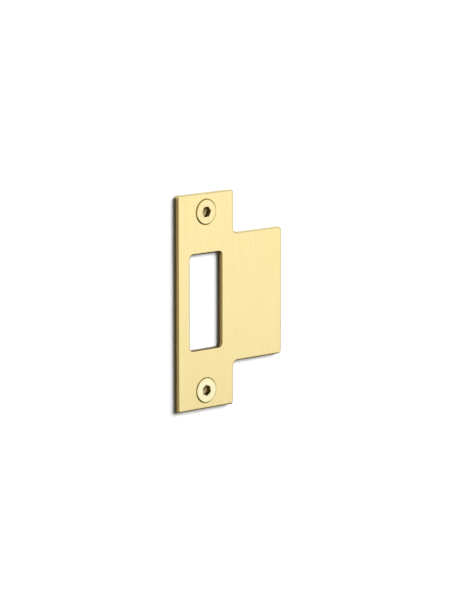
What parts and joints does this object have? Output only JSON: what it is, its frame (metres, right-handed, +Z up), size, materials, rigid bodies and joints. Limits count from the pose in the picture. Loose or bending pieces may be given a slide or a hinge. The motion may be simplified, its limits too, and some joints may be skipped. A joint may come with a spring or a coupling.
{
  "type": "door strike plate",
  "caption": "Flat brass strike plate with a rectangular latch opening, a wide tongue and countersunk socket screws, for a timber door frame.",
  "frame": {"origin": "on the plate's back face, level with the middle of the latch opening, on the line where the tongue leaves the fixing strip", "axes": "+Z up along the fixing strip, +Y out of the back face into the door frame, +X from the strip towards the tongue's free edge"},
  "size_m": [0.05, 0.016, 0.08],
  "materials": {
    "brushed_brass": "fine vertical brush lines, lacquered satin",
    "screw_brass": "fine turned satin"
  },
  "bodies": {
    "root": {"strike_plate": "brushed_brass", "upper_screw": "screw_brass", "lower_screw": "screw_brass"}
  },
  "joints": []
}
